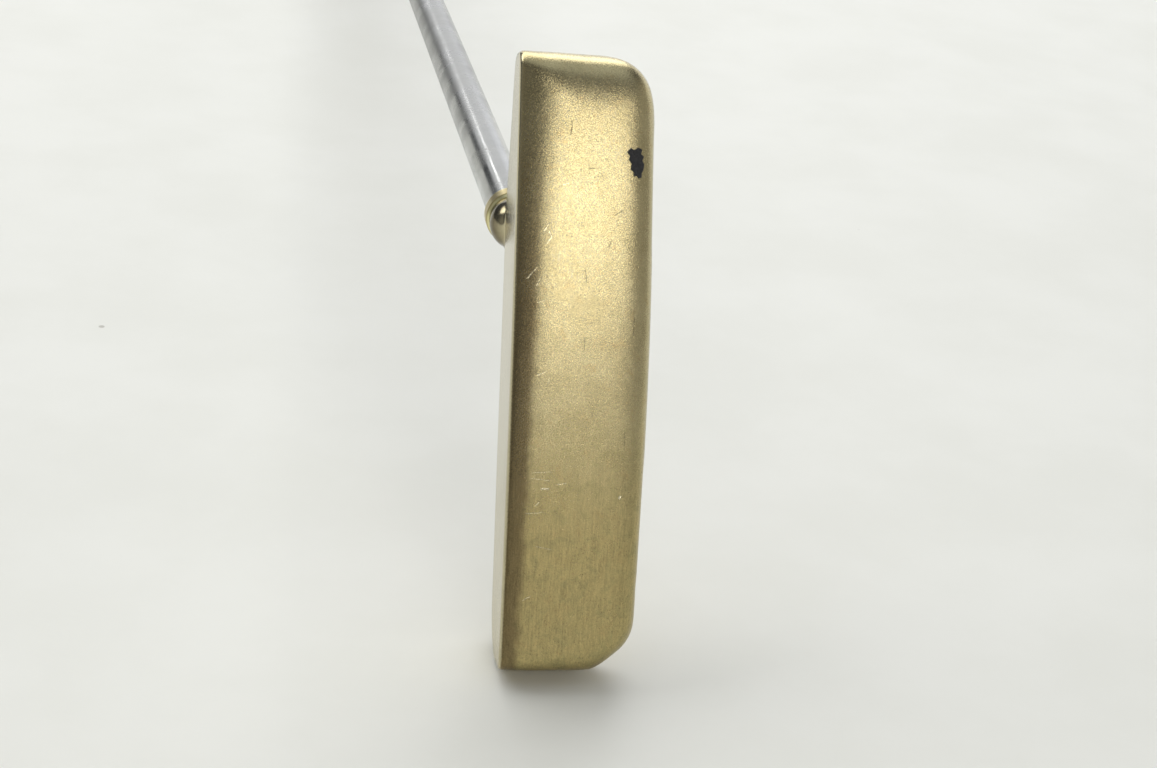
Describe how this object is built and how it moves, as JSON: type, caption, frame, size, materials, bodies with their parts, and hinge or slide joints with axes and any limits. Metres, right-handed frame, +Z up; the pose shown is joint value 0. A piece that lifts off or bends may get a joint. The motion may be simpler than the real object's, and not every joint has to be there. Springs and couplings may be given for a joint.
{
  "type": "blade putter",
  "caption": "Right-handed blade putter with a worn bronze heel-and-toe weighted head, stepped chrome shaft and rubber pistol grip, lying on its toe.",
  "frame": {"origin": "on the table, below the middle of the lying club's bounding box", "axes": "+Z up from the table, +Y along the club from the head to the grip, +X from the striking face to the back of the head"},
  "size_m": [0.0374, 0.9152, 0.1152],
  "materials": {
    "bronze": "satin",
    "collar_brass": "satin",
    "shaft_chrome": "polished",
    "epoxy": "matte",
    "tape": "matte",
    "grip_rubber": "matte",
    "cap_rubber": "satin"
  },
  "bodies": {
    "root": {"head": "bronze", "collar": "collar_brass", "shaft": "shaft_chrome", "shaft_bond": "epoxy", "grip_tape": "tape", "grip": "grip_rubber", "grip_cap": "cap_rubber"}
  },
  "joints": []
}
